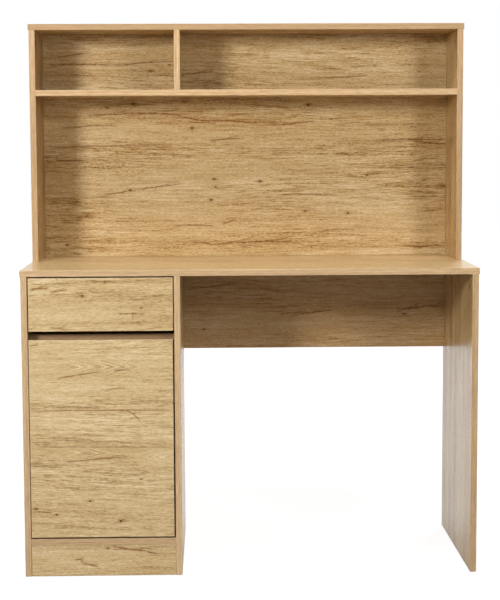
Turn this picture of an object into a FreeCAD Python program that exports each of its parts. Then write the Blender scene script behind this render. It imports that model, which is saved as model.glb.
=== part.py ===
"""Student desk with a hutch: melamine-faced boards, one drawer on roller runners and one
inset door on two concealed hinges.

Millimetres. +Z is up, the front faces -Y, +X is to the right seen from the front.
The origin is on the floor, under the middle of the desk.
"""
import FreeCAD, Part
import math
import os

V = FreeCAD.Vector
X, Y, Z = V(1, 0, 0), V(0, 1, 0), V(0, 0, 1)

# ---------------------------------------------------------------- driving dimensions
# whole desk
DESK_WIDTH = 1100.0
DESK_DEPTH = 480.0
DESK_HEIGHT = 747.0          # floor to the work surface
TOP_OVERHANG = 2.0           # desk top and hutch top beyond the side panels
BOARD = 15.0                 # every structural board
EASE = 0.5                   # broken edge of every board
REAR_INSET = 12.0            # back panels in from the rear edges

# left cupboard
CABINET_WIDTH = 380.0        # outside, both side panels included
KICK_HEIGHT = 77.0
KICK_SETBACK = 2.0
DRAWER_FRONT_HEIGHT = 127.5
DRAWER_TOP_GAP = 3.5
FINGER_GAP = 21.0            # open strip between drawer front and door, for the fingers
DOOR_BOTTOM_GAP = 4.0
FRONT_WIDTH = 345.0          # drawer front and door
DOOR_HINGE_GAP = 1.5         # door to left panel
DRAWER_SHELF_SETBACK = 37.0
DRAWER_SHELF_DROP = 11.0     # shelf's upper face below the drawer front's lower edge
CABINET_BACK = 3.0
CABINET_BACK_GROOVE = 5.0    # how far the back sits in the boards
CUPBOARD_SHELF_HEIGHT = 335.0
CUPBOARD_SHELF_SETBACK = 60.0
CUPBOARD_SHELF_PLAY = 1.0

# knee space
MODESTY_HEIGHT = 233.0

# hutch
HUTCH_HEIGHT = 599.0         # work surface to the hutch's upper face
HUTCH_DEPTH = 210.0
BAY_HEIGHT = 149.5           # clear height of the two upper bays
DIVIDER_FROM_LEFT = 349.0    # clear width of the left upper bay

# drawer box
DRAWER_BOX_DEPTH = 400.0
DRAWER_BOX_HEIGHT = 95.0
DRAWER_BOX_BOARD = 12.0
DRAWER_BOX_LIFT = 5.0        # box above the drawer front's lower edge
DRAWER_BOTTOM = 3.0
DRAWER_BOTTOM_LIFT = 10.0    # groove above the box's lower edge
DRAWER_GROOVE = 5.0
DRAWER_SCREW_RADIUS = 2.5
DRAWER_SCREW_LENGTH = 40.0

# roller runners, one pair
RUNNER_SPACE = 12.5          # between cupboard side and drawer side
RUNNER_LENGTH = 396.0
RUNNER_STEEL = 1.2
ROLLER_RADIUS = 10.0
ROLLER_SIDES = 32
ROLLER_WIDTH = 6.0
ROLLER_BORE = 2.5
ROLLER_PIN_HEAD = 4.0
ROLLER_PIN_HEAD_THICKNESS = 0.9
ROLLER_FROM_END = 13.0
ROLLER_GAP = 0.3             # roller to the rail that it rolls on
RAIL_PLAY = 0.8              # roller to the rail that it must not rub
FLANGE_REACH = 8.6           # flanges out from a rail's web

# concealed hinges, measured from the left panel's inner face (across) and the front (inwards)
HINGE_FROM_DOOR_END = 90.0
CUP_RADIUS = 17.5
CUP_SIDES = 36
CUP_DEPTH = 12.0
CUP_WALL = 1.0
CUP_TAB = 4.0                # wood left between cup and door edge
CUP_FLANGE_RADIUS = 19.5
CUP_FLANGE = 1.2
CUP_SCREW_OFFSET = 9.5
CUP_SCREW_SPREAD = 45.0
CUP_PIN_ACROSS = 10.5
CUP_PIN_INWARDS = 13.5
ARM_PIN_ACROSS = 29.0
ARM_PIN_INWARDS = 7.5
LINK_WIDTH = 8.4
LINK_BAR = 2.4
LINK_EYE_RADIUS = 2.6
LINK_GAP = 0.5               # link to the arm's cheeks
HINGE_PIN_RADIUS = 1.2
ARM_WIDTH = 14.0
ARM_REACH = 70.0
ARM_STEEL = 1.5
ARM_LIFT = 7.5               # arm's underside above the panel
ARM_HEIGHT = 6.0
BASE_PLATE_INWARDS = 52.0
BASE_PLATE_SPREAD = 32.0

# fittings
SCREW_RADIUS = 2.5
SCREW_LENGTH = 11.0          # in the wood and the steel that it holds
SCREW_HEAD_RADIUS = 4.2
SCREW_HEAD = 1.6
CAM_RADIUS = 7.5
CAM_SIDES = 12
CAM_DEPTH = 12.5
CAM_FROM_END = 34.0
DRAWER_CAM_DEPTH = 9.5
BOLT_RADIUS = 3.0
BOLT_BITE = 11.0             # bolt in the mating board
FITTING_FROM_EDGE = 50.0     # fitting to the board's front or rear edge
HUTCH_FITTING_FROM_EDGE = 37.0
SHELF_PIN_RADIUS = 2.5
SHELF_PIN_LENGTH = 8.0       # in the panel, and the same out of it
SHELF_PIN_COLLAR = 0.9
GLIDE_HEIGHT = 3.0
GLIDE_RADIUS = 7.0
GLIDE_SIDES = 12
GLIDE_NAIL_RADIUS = 1.2
GLIDE_NAIL_LENGTH = 14.0
GLIDE_FROM_EDGE = 25.0
STOP_HEIGHT = 40.0           # door stop on the right panel
STOP_DEPTH = 12.0
STOP_REACH = 9.0

# clearances
PLAY = 0.05                  # a pin, screw or cam in its own hole
GROOVE_PLAY = 0.2            # a thin panel in its groove
SEAT_GAP = 0.3               # door at its stop

# ---------------------------------------------------------------- derived planes
FRONT, REAR = -DESK_DEPTH / 2, DESK_DEPTH / 2
LEFT = -(DESK_WIDTH / 2 - TOP_OVERHANG)
RIGHT = -LEFT
PANEL_FOOT = GLIDE_HEIGHT
TOP_UNDERSIDE = DESK_HEIGHT - BOARD
BACK_FACE = REAR - REAR_INSET - BOARD          # front of the modesty and hutch back panels
MID_BACK = BACK_FACE + BOARD / 2
HUTCH_TOP = DESK_HEIGHT + HUTCH_HEIGHT
HUTCH_FRONT = REAR - HUTCH_DEPTH
CEILING = HUTCH_TOP - BOARD                    # underside of the hutch top
HUTCH_SHELF_TOP = CEILING - BAY_HEIGHT
HUTCH_SHELF_UNDERSIDE = HUTCH_SHELF_TOP - BOARD

CAB_LEFT = LEFT + BOARD                        # inner faces of the cupboard
CAB_RIGHT = LEFT + CABINET_WIDTH - BOARD
CAB_MIDDLE = (CAB_LEFT + CAB_RIGHT) / 2
FLOOR_UNDERSIDE = PANEL_FOOT + KICK_HEIGHT
FLOOR_TOP = FLOOR_UNDERSIDE + BOARD
CAB_BACK_FRONT = REAR - REAR_INSET - CABINET_BACK
FRONTS_BACK = FRONT + BOARD                    # rear face of drawer front and door

DRAWER_FRONT_TOP = TOP_UNDERSIDE - DRAWER_TOP_GAP
DRAWER_FRONT_LOW = DRAWER_FRONT_TOP - DRAWER_FRONT_HEIGHT
DOOR_TOP = DRAWER_FRONT_LOW - FINGER_GAP
DOOR_LOW = FLOOR_TOP + DOOR_BOTTOM_GAP
DOOR_LEFT = CAB_LEFT + DOOR_HINGE_GAP
DOOR_RIGHT = DOOR_LEFT + FRONT_WIDTH
DRAWER_SHELF_TOP = DRAWER_FRONT_LOW - DRAWER_SHELF_DROP
DRAWER_SHELF_UNDERSIDE = DRAWER_SHELF_TOP - BOARD
HINGE_HEIGHTS = {
    "upper": DOOR_TOP - HINGE_FROM_DOOR_END,
    "lower": DOOR_LOW + HINGE_FROM_DOOR_END,
}

BOX_LEFT = CAB_LEFT + RUNNER_SPACE
BOX_RIGHT = CAB_RIGHT - RUNNER_SPACE
BOX_LOW = DRAWER_FRONT_LOW + DRAWER_BOX_LIFT
BOX_TOP = BOX_LOW + DRAWER_BOX_HEIGHT
BOX_REAR = FRONTS_BACK + DRAWER_BOX_DEPTH
BOX_FLOOR = BOX_LOW + DRAWER_BOTTOM_LIFT

RUNNER_FRONT = BOX_REAR - RUNNER_LENGTH
CHANNEL_FLOOR = BOX_LOW                        # inner floor of the fixed rail
REAR_ROLLER_HEIGHT = CHANNEL_FLOOR + ROLLER_GAP + ROLLER_RADIUS
FRONT_ROLLER_HEIGHT = CHANNEL_FLOOR + RAIL_PLAY + ROLLER_RADIUS
RAIL_FLANGE_LOW = FRONT_ROLLER_HEIGHT + ROLLER_RADIUS + ROLLER_GAP
CHANNEL_CEILING = RAIL_FLANGE_LOW + RUNNER_STEEL + RAIL_PLAY

CUP_CENTRE = CAB_LEFT + DOOR_HINGE_GAP + CUP_TAB + CUP_RADIUS


# ---------------------------------------------------------------- small helpers
def box(x0, x1, y0, y1, z0, z1):
    return Part.makeBox(x1 - x0, y1 - y0, z1 - z0, V(x0, y0, z0))


def board(x0, x1, y0, y1, z0, z1):
    """A board with its twelve edges just broken."""
    plain = box(x0, x1, y0, y1, z0, z1)
    return plain.makeChamfer(EASE, plain.Edges)


def rod(start, axis, radius, length):
    return Part.makeCylinder(radius, length, start, axis)


def peg(start, axis, radius, length, sides=8):
    """A small round thing with few faces, for fittings that repeat many times."""
    across = Z if abs(axis.z) < 0.5 else X
    other = axis.cross(across)
    turns = [2 * math.pi * (i + 0.5) / sides for i in range(sides)]
    rim = [start + across * (radius * math.cos(t)) + other * (radius * math.sin(t)) for t in turns]
    return Part.Face(Part.makePolygon(rim + rim[:1])).extrude(axis * length)


def prism(points, bottom, height):
    """A closed outline of (x, y) points, standing on the height 'bottom'."""
    corners = [V(x, y, bottom) for x, y in points]
    wire = Part.makePolygon(corners + corners[:1])
    return Part.Face(wire).extrude(V(0, 0, height))


def mirrored(shape):
    """The same piece for the other side of the cupboard."""
    return shape.mirror(V(CAB_MIDDLE, 0, 0), X)


# ---------------------------------------------------------------- cams, bolts, glides, pins
class Fitting:
    """A cam in one board's face and the bolt that it pulls, screwed into the next board.

    crossing: where the bolt's axis crosses the joint; into: from there into the cam's board;
    face: out of the face that the cam is set in; thickness and depth: of the cam's board and cam.
    """

    def __init__(self, cam_board, bolt_board, crossing, into, face, thickness=BOARD,
                 depth=CAM_DEPTH):
        self.cam_board = cam_board
        self.bolt_board = bolt_board
        seat = crossing + into * CAM_FROM_END + face * (thickness / 2 - depth)
        self.cam = peg(seat, face, CAM_RADIUS, depth, CAM_SIDES)
        self.cam_hole = peg(seat, face, CAM_RADIUS + PLAY, depth + EASE, CAM_SIDES)
        tip = crossing - into * BOLT_BITE
        length = BOLT_BITE + CAM_FROM_END - CAM_RADIUS
        self.bolt = peg(tip, into, BOLT_RADIUS, length - PLAY)
        self.bolt_hole = peg(tip, into, BOLT_RADIUS + PLAY, length)

    def cutter(self, board_name):
        if board_name == self.cam_board:
            return [self.cam_hole, self.bolt_hole]
        if board_name == self.bolt_board:
            return [self.bolt_hole]
        return []


def desk_top_fittings():
    """Each upright panel hangs its cams on its inner face and pulls the desk top down."""
    uprights = {
        "left_side_panel": (LEFT + BOARD / 2, X),
        "cabinet_right_panel": (CAB_RIGHT + BOARD / 2, -X),
        "right_leg_panel": (RIGHT - BOARD / 2, -X),
    }
    return [
        Fitting(name, "desk_top", V(middle, y, TOP_UNDERSIDE), -Z, face)
        for name, (middle, face) in uprights.items()
        for y in (FRONT + FITTING_FROM_EDGE, REAR - FITTING_FROM_EDGE)
    ]


def between_fittings(name, left, right, y, z, face):
    """One fitting at each end of a board that spans two uprights; left and right are
    (upright's name, x of its face)."""
    return [
        Fitting(name, left[0], V(left[1], y, z), X, face),
        Fitting(name, right[0], V(right[1], y, z), -X, face),
    ]


def desk_fittings():
    cab_left = ("left_side_panel", CAB_LEFT)
    cab_right = ("cabinet_right_panel", CAB_RIGHT)
    knee_left = ("cabinet_right_panel", CAB_RIGHT + BOARD)
    leg = ("right_leg_panel", RIGHT - BOARD)
    middle = (FRONT + CAB_BACK_FRONT) / 2
    floor = FLOOR_UNDERSIDE + BOARD / 2
    shelf = DRAWER_SHELF_UNDERSIDE + BOARD / 2
    modesty = TOP_UNDERSIDE - MODESTY_HEIGHT / 2
    return (
        desk_top_fittings()
        + between_fittings("cabinet_bottom", cab_left, cab_right, middle, floor, -Z)
        + between_fittings("drawer_shelf", cab_left, cab_right, middle, shelf, -Z)
        + between_fittings("modesty_panel", knee_left, leg, MID_BACK, modesty, Y)
    )


def hutch_fittings():
    """Cams on the inner faces of the hutch sides, at the foot and at the top, and on the
    hidden faces of the shelf and the back."""
    left = ("hutch_left_side", LEFT + BOARD)
    right = ("hutch_right_side", RIGHT - BOARD)
    rows = (HUTCH_FRONT + HUTCH_FITTING_FROM_EDGE, BACK_FACE - HUTCH_FITTING_FROM_EDGE)
    fittings = []
    for name, middle, face in (
        (left[0], LEFT + BOARD / 2, X),
        (right[0], RIGHT - BOARD / 2, -X),
    ):
        for y in rows:
            fittings.append(Fitting(name, "desk_top", V(middle, y, DESK_HEIGHT), Z, face))
            fittings.append(Fitting(name, "hutch_top", V(middle, y, CEILING), -Z, face))
    shelf = HUTCH_SHELF_UNDERSIDE + BOARD / 2
    middle_row = (HUTCH_FRONT + BACK_FACE) / 2
    fittings += between_fittings("hutch_shelf", left, right, middle_row, shelf, -Z)
    fittings += between_fittings(
        "hutch_back_panel", left, right, MID_BACK, DESK_HEIGHT + HUTCH_HEIGHT / 2, Y
    )
    return fittings


def drawer_fittings():
    """One cam in the inner face of each drawer side pulls the drawer front on."""
    middle = DRAWER_BOX_BOARD / 2
    height = (BOX_LOW + BOX_TOP) / 2
    return [
        Fitting(name, "drawer_front", V(x, FRONTS_BACK, height), Y, face, DRAWER_BOX_BOARD,
                DRAWER_CAM_DEPTH)
        for name, x, face in (
            ("drawer_left_side", BOX_LEFT + middle, X),
            ("drawer_right_side", BOX_RIGHT - middle, -X),
        )
    ]


DESK_FITTINGS = desk_fittings()
HUTCH_FITTINGS = hutch_fittings()
DRAWER_FITTINGS = drawer_fittings()


def glide_places():
    uprights = (LEFT + BOARD / 2, CAB_RIGHT + BOARD / 2, RIGHT - BOARD / 2)
    rows = (FRONT + GLIDE_FROM_EDGE, REAR - GLIDE_FROM_EDGE)
    return [V(x, y, PANEL_FOOT) for x in uprights for y in rows]


def shelf_pin_places():
    """(point on the panel's inner face, direction out of the panel)"""
    low = CUPBOARD_SHELF_HEIGHT - SHELF_PIN_RADIUS
    rows = (
        FRONT + CUPBOARD_SHELF_SETBACK + GLIDE_FROM_EDGE,
        CAB_BACK_FRONT - CUPBOARD_SHELF_PLAY - GLIDE_FROM_EDGE,
    )
    return [(V(x, y, low), out) for x, out in ((CAB_LEFT, X), (CAB_RIGHT, -X)) for y in rows]


def hinge_screw_places(height):
    """Where the two screws of a hinge's base plate enter the left panel."""
    y = FRONT + BASE_PLATE_INWARDS
    return [V(CAB_LEFT, y, height + s * BASE_PLATE_SPREAD / 2) for s in (-1, 1)]


def drawer_screw_places():
    """Two screws through each drawer side into the drawer back's end."""
    y = BOX_REAR - DRAWER_BOX_BOARD / 2
    rows = [BOX_LOW + DRAWER_BOX_HEIGHT * share for share in (0.35, 0.8)]
    return [(V(x, y, z), into) for x, into in ((BOX_LEFT, X), (BOX_RIGHT, -X)) for z in rows]


def drawer_screw(place, into, play=0.0):
    """A headless screw sunk flush; with play, the hole that it fills."""
    return peg(place, into, DRAWER_SCREW_RADIUS + play, DRAWER_SCREW_LENGTH + play)


def drilled(name, shape):
    """The board with the holes of every fitting, pin, nail and screw that enters it."""
    fittings = DESK_FITTINGS + HUTCH_FITTINGS + DRAWER_FITTINGS
    holes = [hole for f in fittings for hole in f.cutter(name)]
    holes += [
        peg(p, Z, GLIDE_NAIL_RADIUS + PLAY, GLIDE_NAIL_LENGTH + GROOVE_PLAY)
        for p in glide_places()
        if name in ("left_side_panel", "cabinet_right_panel", "right_leg_panel")
    ]
    holes += [
        peg(p, -out, SHELF_PIN_RADIUS + PLAY, SHELF_PIN_LENGTH + GROOVE_PLAY)
        for p, out in shelf_pin_places()
        if name == ("left_side_panel" if out == X else "cabinet_right_panel")
    ]
    if name == "left_side_panel":
        for height in HINGE_HEIGHTS.values():
            for p in hinge_screw_places(height):
                holes.append(peg(p, -X, SCREW_RADIUS + PLAY, SCREW_LENGTH + GROOVE_PLAY))
    if name.startswith("drawer_") and name != "drawer_shelf":
        holes += [drawer_screw(p, into, PLAY) for p, into in drawer_screw_places()]
    near = [h for h in holes if h.BoundBox.intersect(shape.BoundBox)]
    return shape.cut(near) if near else shape


def screw(point, into):
    """A pan-head screw whose head sits on the surface at 'point'."""
    head = peg(point, -into, SCREW_HEAD_RADIUS, SCREW_HEAD)
    return peg(point, into, SCREW_RADIUS, SCREW_LENGTH).fuse(head)


# ---------------------------------------------------------------- desk boards
def desk_top():
    half = DESK_WIDTH / 2
    return board(-half, half, FRONT, REAR, TOP_UNDERSIDE, DESK_HEIGHT)


def upright(x):
    return board(x, x + BOARD, FRONT, REAR, PANEL_FOOT, TOP_UNDERSIDE)


def cabinet_back_slot():
    """The groove that the cupboard's thin back slides in."""
    return box(
        CAB_LEFT - CABINET_BACK_GROOVE - GROOVE_PLAY,
        CAB_RIGHT + CABINET_BACK_GROOVE + GROOVE_PLAY,
        CAB_BACK_FRONT - GROOVE_PLAY / 2,
        CAB_BACK_FRONT + CABINET_BACK + GROOVE_PLAY / 2,
        FLOOR_TOP - CABINET_BACK_GROOVE - GROOVE_PLAY,
        TOP_UNDERSIDE,
    )


def left_side_panel():
    return upright(LEFT).cut(cabinet_back_slot())


def cabinet_right_panel():
    return upright(CAB_RIGHT).cut(cabinet_back_slot())


def right_leg_panel():
    return upright(RIGHT - BOARD)


def cabinet_bottom():
    floor = board(CAB_LEFT, CAB_RIGHT, FRONT, REAR - REAR_INSET / 2, FLOOR_UNDERSIDE, FLOOR_TOP)
    return floor.cut(cabinet_back_slot())


def kick_plate():
    y = FRONT + KICK_SETBACK
    return board(CAB_LEFT, CAB_RIGHT, y, y + BOARD, PANEL_FOOT, FLOOR_UNDERSIDE)


def cabinet_back():
    return box(
        CAB_LEFT - CABINET_BACK_GROOVE,
        CAB_RIGHT + CABINET_BACK_GROOVE,
        CAB_BACK_FRONT,
        CAB_BACK_FRONT + CABINET_BACK,
        FLOOR_TOP - CABINET_BACK_GROOVE,
        TOP_UNDERSIDE - GROOVE_PLAY,
    )


def drawer_shelf():
    y = FRONT + DRAWER_SHELF_SETBACK
    rear = CAB_BACK_FRONT - GROOVE_PLAY
    return board(CAB_LEFT, CAB_RIGHT, y, rear, DRAWER_SHELF_UNDERSIDE, DRAWER_SHELF_TOP)


def cupboard_shelf():
    low = CUPBOARD_SHELF_HEIGHT
    return board(
        CAB_LEFT + CUPBOARD_SHELF_PLAY,
        CAB_RIGHT - CUPBOARD_SHELF_PLAY,
        FRONT + CUPBOARD_SHELF_SETBACK,
        CAB_BACK_FRONT - CUPBOARD_SHELF_PLAY,
        low,
        low + BOARD,
    )


def modesty_panel():
    low = TOP_UNDERSIDE - MODESTY_HEIGHT
    left = CAB_RIGHT + BOARD
    return board(left, RIGHT - BOARD, BACK_FACE, BACK_FACE + BOARD, low, TOP_UNDERSIDE)


# ---------------------------------------------------------------- hutch boards
def hutch_side(x):
    return board(x, x + BOARD, HUTCH_FRONT, REAR, DESK_HEIGHT, CEILING)


def hutch_top():
    half = DESK_WIDTH / 2
    return board(-half, half, HUTCH_FRONT, REAR, CEILING, HUTCH_TOP)


def hutch_shelf():
    low, high = HUTCH_SHELF_UNDERSIDE, HUTCH_SHELF_TOP
    return board(LEFT + BOARD, RIGHT - BOARD, HUTCH_FRONT, BACK_FACE, low, high)


def hutch_divider():
    x = LEFT + BOARD + DIVIDER_FROM_LEFT
    return board(x, x + BOARD, HUTCH_FRONT, BACK_FACE, HUTCH_SHELF_TOP, CEILING)


def hutch_back_panel():
    rear = BACK_FACE + BOARD
    return board(LEFT + BOARD, RIGHT - BOARD, BACK_FACE, rear, DESK_HEIGHT, CEILING)


# ---------------------------------------------------------------- drawer
def drawer_bottom_slot():
    """The groove round the drawer box that its thin floor slides in."""
    side = DRAWER_BOX_BOARD - DRAWER_GROOVE - GROOVE_PLAY
    return box(
        BOX_LEFT + side,
        BOX_RIGHT - side,
        FRONTS_BACK - DRAWER_GROOVE - GROOVE_PLAY,
        BOX_REAR - side,
        BOX_FLOOR - GROOVE_PLAY / 2,
        BOX_FLOOR + DRAWER_BOTTOM + GROOVE_PLAY / 2,
    )


def drawer_front():
    left = CAB_MIDDLE - FRONT_WIDTH / 2
    front = board(
        left, left + FRONT_WIDTH, FRONT, FRONTS_BACK, DRAWER_FRONT_LOW, DRAWER_FRONT_TOP
    )
    return front.cut(drawer_bottom_slot())


def drawer_left_side():
    right = BOX_LEFT + DRAWER_BOX_BOARD
    side = board(BOX_LEFT, right, FRONTS_BACK, BOX_REAR, BOX_LOW, BOX_TOP)
    return side.cut(drawer_bottom_slot())


def drawer_back():
    left, right = BOX_LEFT + DRAWER_BOX_BOARD, BOX_RIGHT - DRAWER_BOX_BOARD
    back = board(left, right, BOX_REAR - DRAWER_BOX_BOARD, BOX_REAR, BOX_LOW, BOX_TOP)
    return back.cut(drawer_bottom_slot())


def drawer_bottom():
    side = DRAWER_BOX_BOARD - DRAWER_GROOVE
    return box(
        BOX_LEFT + side,
        BOX_RIGHT - side,
        FRONTS_BACK - DRAWER_GROOVE,
        BOX_REAR - side,
        BOX_FLOOR,
        BOX_FLOOR + DRAWER_BOTTOM,
    )


# ---------------------------------------------------------------- roller runners, left side
def roller_place(y, height):
    """Middle of a roller's inner end, on the cupboard side."""
    return V(CAB_LEFT + (RUNNER_SPACE - ROLLER_WIDTH) / 2, y, height)


FRONT_ROLLER = roller_place(RUNNER_FRONT + ROLLER_FROM_END, FRONT_ROLLER_HEIGHT)
REAR_ROLLER = roller_place(BOX_REAR - ROLLER_FROM_END, REAR_ROLLER_HEIGHT)


def roller(place):
    bore = rod(place, X, ROLLER_BORE + PLAY, ROLLER_WIDTH)
    return peg(place, X, ROLLER_RADIUS, ROLLER_WIDTH, ROLLER_SIDES).cut(bore)


def roller_pin(place, web, outwards):
    """A riveted pin from a rail's web (at x 'web') through the roller, with its head."""
    reach = abs(place.x - web) if outwards == X else abs(place.x + ROLLER_WIDTH - web)
    start = V(web, place.y, place.z)
    length = reach + ROLLER_WIDTH + ROLLER_GAP
    head = rod(start + outwards * length, outwards, ROLLER_PIN_HEAD, ROLLER_PIN_HEAD_THICKNESS)
    return rod(start, outwards, ROLLER_BORE, length).fuse(head)


def left_cabinet_runner():
    """A channel on the cupboard side, with the front roller's pin."""
    x = CAB_LEFT
    low, high = CHANNEL_FLOOR - RUNNER_STEEL, CHANNEL_CEILING + RUNNER_STEEL
    full = box(x, x + RUNNER_STEEL + FLANGE_REACH, RUNNER_FRONT, BOX_REAR, low, high)
    hollow = box(
        x + RUNNER_STEEL,
        x + RUNNER_SPACE,
        RUNNER_FRONT - PLAY,
        BOX_REAR + PLAY,
        CHANNEL_FLOOR,
        CHANNEL_CEILING,
    )
    return full.cut(hollow).fuse(roller_pin(FRONT_ROLLER, x + RUNNER_STEEL, X)).removeSplitter()


def left_drawer_runner():
    """A rail that wraps the drawer side's lower edge; its outer flange rides on the rollers."""
    web = BOX_LEFT - RUNNER_STEEL
    top = RAIL_FLANGE_LOW + RUNNER_STEEL
    low = BOX_LOW - RUNNER_STEEL
    wall = box(web, BOX_LEFT, RUNNER_FRONT, BOX_REAR, low, top)
    wrap = box(web, BOX_LEFT + DRAWER_BOX_BOARD, RUNNER_FRONT, BOX_REAR, low, BOX_LOW)
    flange = box(web - FLANGE_REACH, BOX_LEFT, RUNNER_FRONT, BOX_REAR, RAIL_FLANGE_LOW, top)
    pin = roller_pin(REAR_ROLLER, web, -X)
    return wall.fuse([wrap, flange, pin]).removeSplitter()


# ---------------------------------------------------------------- door and hinges
def cup_seat(height, radius, depth):
    """A cylinder into the door's rear face, on a hinge cup's axis."""
    return peg(V(CUP_CENTRE, FRONTS_BACK, height), -Y, radius, depth, CUP_SIDES)


def cup_screw_places(height):
    x = CUP_CENTRE + CUP_SCREW_OFFSET
    y = FRONTS_BACK + CUP_FLANGE
    return [V(x, y, height + s * CUP_SCREW_SPREAD / 2) for s in (-1, 1)]


def door_panel():
    door = board(DOOR_LEFT, DOOR_RIGHT, FRONT, FRONTS_BACK, DOOR_LOW, DOOR_TOP)
    holes = []
    for height in HINGE_HEIGHTS.values():
        holes.append(cup_seat(height, CUP_RADIUS + PLAY, CUP_DEPTH + PLAY))
        for p in cup_screw_places(height):
            holes.append(peg(p, -Y, SCREW_RADIUS + PLAY, SCREW_LENGTH + GROOVE_PLAY))
    return door.cut(holes)


def hinge_pin(across, inwards, height, length):
    """A pin parallel to the door's edge."""
    foot = V(CAB_LEFT + across, FRONT + inwards, height - length / 2)
    return rod(foot, Z, HINGE_PIN_RADIUS, length)


def hinge_cup(height):
    """The pressed cup with its screw flange, notched where the link comes out over its rim."""
    cup = cup_seat(height, CUP_RADIUS, CUP_DEPTH)
    centre = V(CUP_CENTRE, FRONTS_BACK, height)
    rim = peg(centre, Y, CUP_FLANGE_RADIUS, CUP_FLANGE, CUP_SIDES)
    reach = CUP_SCREW_SPREAD / 2 + SCREW_HEAD_RADIUS + CUP_WALL
    x = CUP_CENTRE + CUP_SCREW_OFFSET
    ear = SCREW_HEAD_RADIUS + CUP_WALL
    ears = box(x - ear, x + ear, FRONTS_BACK, FRONTS_BACK + CUP_FLANGE, height - reach,
               height + reach)
    corners = [e for e in ears.Edges if abs(e.tangentAt(e.FirstParameter).y) > 0.9]
    ears = ears.makeChamfer(ear / 2, corners)
    inside = CUP_RADIUS - CUP_WALL
    depth = CUP_FLANGE + CUP_DEPTH - CUP_WALL
    hollow = peg(centre + Y * CUP_FLANGE, -Y, inside, depth, CUP_SIDES)
    half = LINK_WIDTH / 2 + 2 * LINK_GAP
    notch = box(
        CUP_CENTRE - CUP_FLANGE_RADIUS,
        CAB_LEFT + CUP_PIN_ACROSS,
        FRONT + CUP_PIN_INWARDS - LINK_EYE_RADIUS - LINK_GAP,
        FRONTS_BACK + CUP_FLANGE,
        height - half,
        height + half,
    )
    body = cup.fuse([rim, ears]).cut([hollow, notch])
    for p in cup_screw_places(height):
        body = body.cut(peg(p, -Y, SCREW_RADIUS + PLAY, CUP_FLANGE))
    chord = math.sqrt(CUP_RADIUS**2 - (CUP_CENTRE - CAB_LEFT - CUP_PIN_ACROSS) ** 2)
    pin = hinge_pin(CUP_PIN_ACROSS, CUP_PIN_INWARDS, height, 2 * chord - 3 * CUP_WALL)
    return body.fuse(pin).removeSplitter()


def hinge_link(height):
    """The link between cup and arm: a bar with an eye at each end. It turns on the cup's pin."""
    bottom = height - LINK_WIDTH / 2
    start = V(CAB_LEFT + CUP_PIN_ACROSS, FRONT + CUP_PIN_INWARDS, bottom)
    end = V(CAB_LEFT + ARM_PIN_ACROSS, FRONT + ARM_PIN_INWARDS, bottom)
    along = (end - start).normalize()
    across = along.cross(Z) * (LINK_BAR / 2)
    bar = prism(
        [(p.x, p.y) for p in (start + across, end + across, end - across, start - across)],
        bottom,
        LINK_WIDTH,
    )
    eyes = [peg(p, Z, LINK_EYE_RADIUS, LINK_WIDTH, 12) for p in (start, end)]
    bores = [rod(p, Z, HINGE_PIN_RADIUS + PLAY, LINK_WIDTH) for p in (start, end)]
    return bar.fuse(eyes).cut(bores).removeSplitter()


def hinge_arm(height):
    """The cranked arm: a channel over the base plate that bends round the door's edge and ends
    in two cheeks, with a rivet in each where the link ends."""
    x, y = CAB_LEFT, FRONT
    knuckle = LINK_EYE_RADIUS + LINK_GAP
    low, high = ARM_LIFT, ARM_LIFT + ARM_HEIGHT
    over_door = BOARD + CUP_FLANGE + 2 * LINK_GAP
    pin_x, pin_y = ARM_PIN_ACROSS, ARM_PIN_INWARDS
    bend = over_door + ARM_HEIGHT
    outline = [
        (low, ARM_REACH), (high, ARM_REACH), (high, bend + ARM_STEEL),
        (high + ARM_HEIGHT, bend), (pin_x + knuckle, bend), (pin_x + knuckle, pin_y),
        (pin_x - knuckle, pin_y), (pin_x - knuckle, over_door),
        (high + ARM_STEEL, over_door), (low, bend - ARM_STEEL),
    ]
    bottom = height - ARM_WIDTH / 2
    arm = prism([(x + a, y + b) for a, b in outline], bottom, ARM_WIDTH)
    arm = arm.fuse(peg(V(x + pin_x, y + pin_y, bottom), Z, knuckle, ARM_WIDTH, 16))
    half = LINK_WIDTH / 2 + LINK_GAP
    slot = box(x + high, x + pin_x + 2 * ARM_HEIGHT, y, y + over_door - LINK_EYE_RADIUS,
               height - half, height + half)
    wall = ARM_WIDTH / 2 - ARM_STEEL
    channel = box(x, x + high - ARM_STEEL, y + bend + ARM_STEEL, y + ARM_REACH + PLAY,
                  height - wall, height + wall)
    rivets = [
        peg(V(x + pin_x, y + pin_y, height + s * ARM_WIDTH / 2), Z * s, 2 * HINGE_PIN_RADIUS, LINK_GAP)
        for s in (-1, 1)
    ]
    return arm.cut([slot, channel]).fuse(rivets).removeSplitter()


def hinge_base_plate(height):
    """A cross-shaped plate: the arm sits over its ridge and two screws hold its wings."""
    x, y = CAB_LEFT, FRONT + BASE_PLATE_INWARDS
    ridge_half = ARM_WIDTH / 2 - ARM_STEEL - PLAY
    top = ARM_LIFT + ARM_HEIGHT - ARM_STEEL
    ridge = box(x, x + top, y - 4 * SCREW_HEAD_RADIUS, y + 4 * SCREW_HEAD_RADIUS,
                height - ridge_half, height + ridge_half)
    reach = BASE_PLATE_SPREAD / 2 + SCREW_HEAD_RADIUS + ARM_STEEL
    half = SCREW_HEAD_RADIUS + ARM_STEEL
    wings = box(x, x + ARM_STEEL, y - half, y + half, height - reach, height + reach)
    holes = [peg(p, X, SCREW_RADIUS + PLAY, ARM_STEEL) for p in hinge_screw_places(height)]
    return ridge.fuse(wings).cut(holes).removeSplitter()


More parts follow.
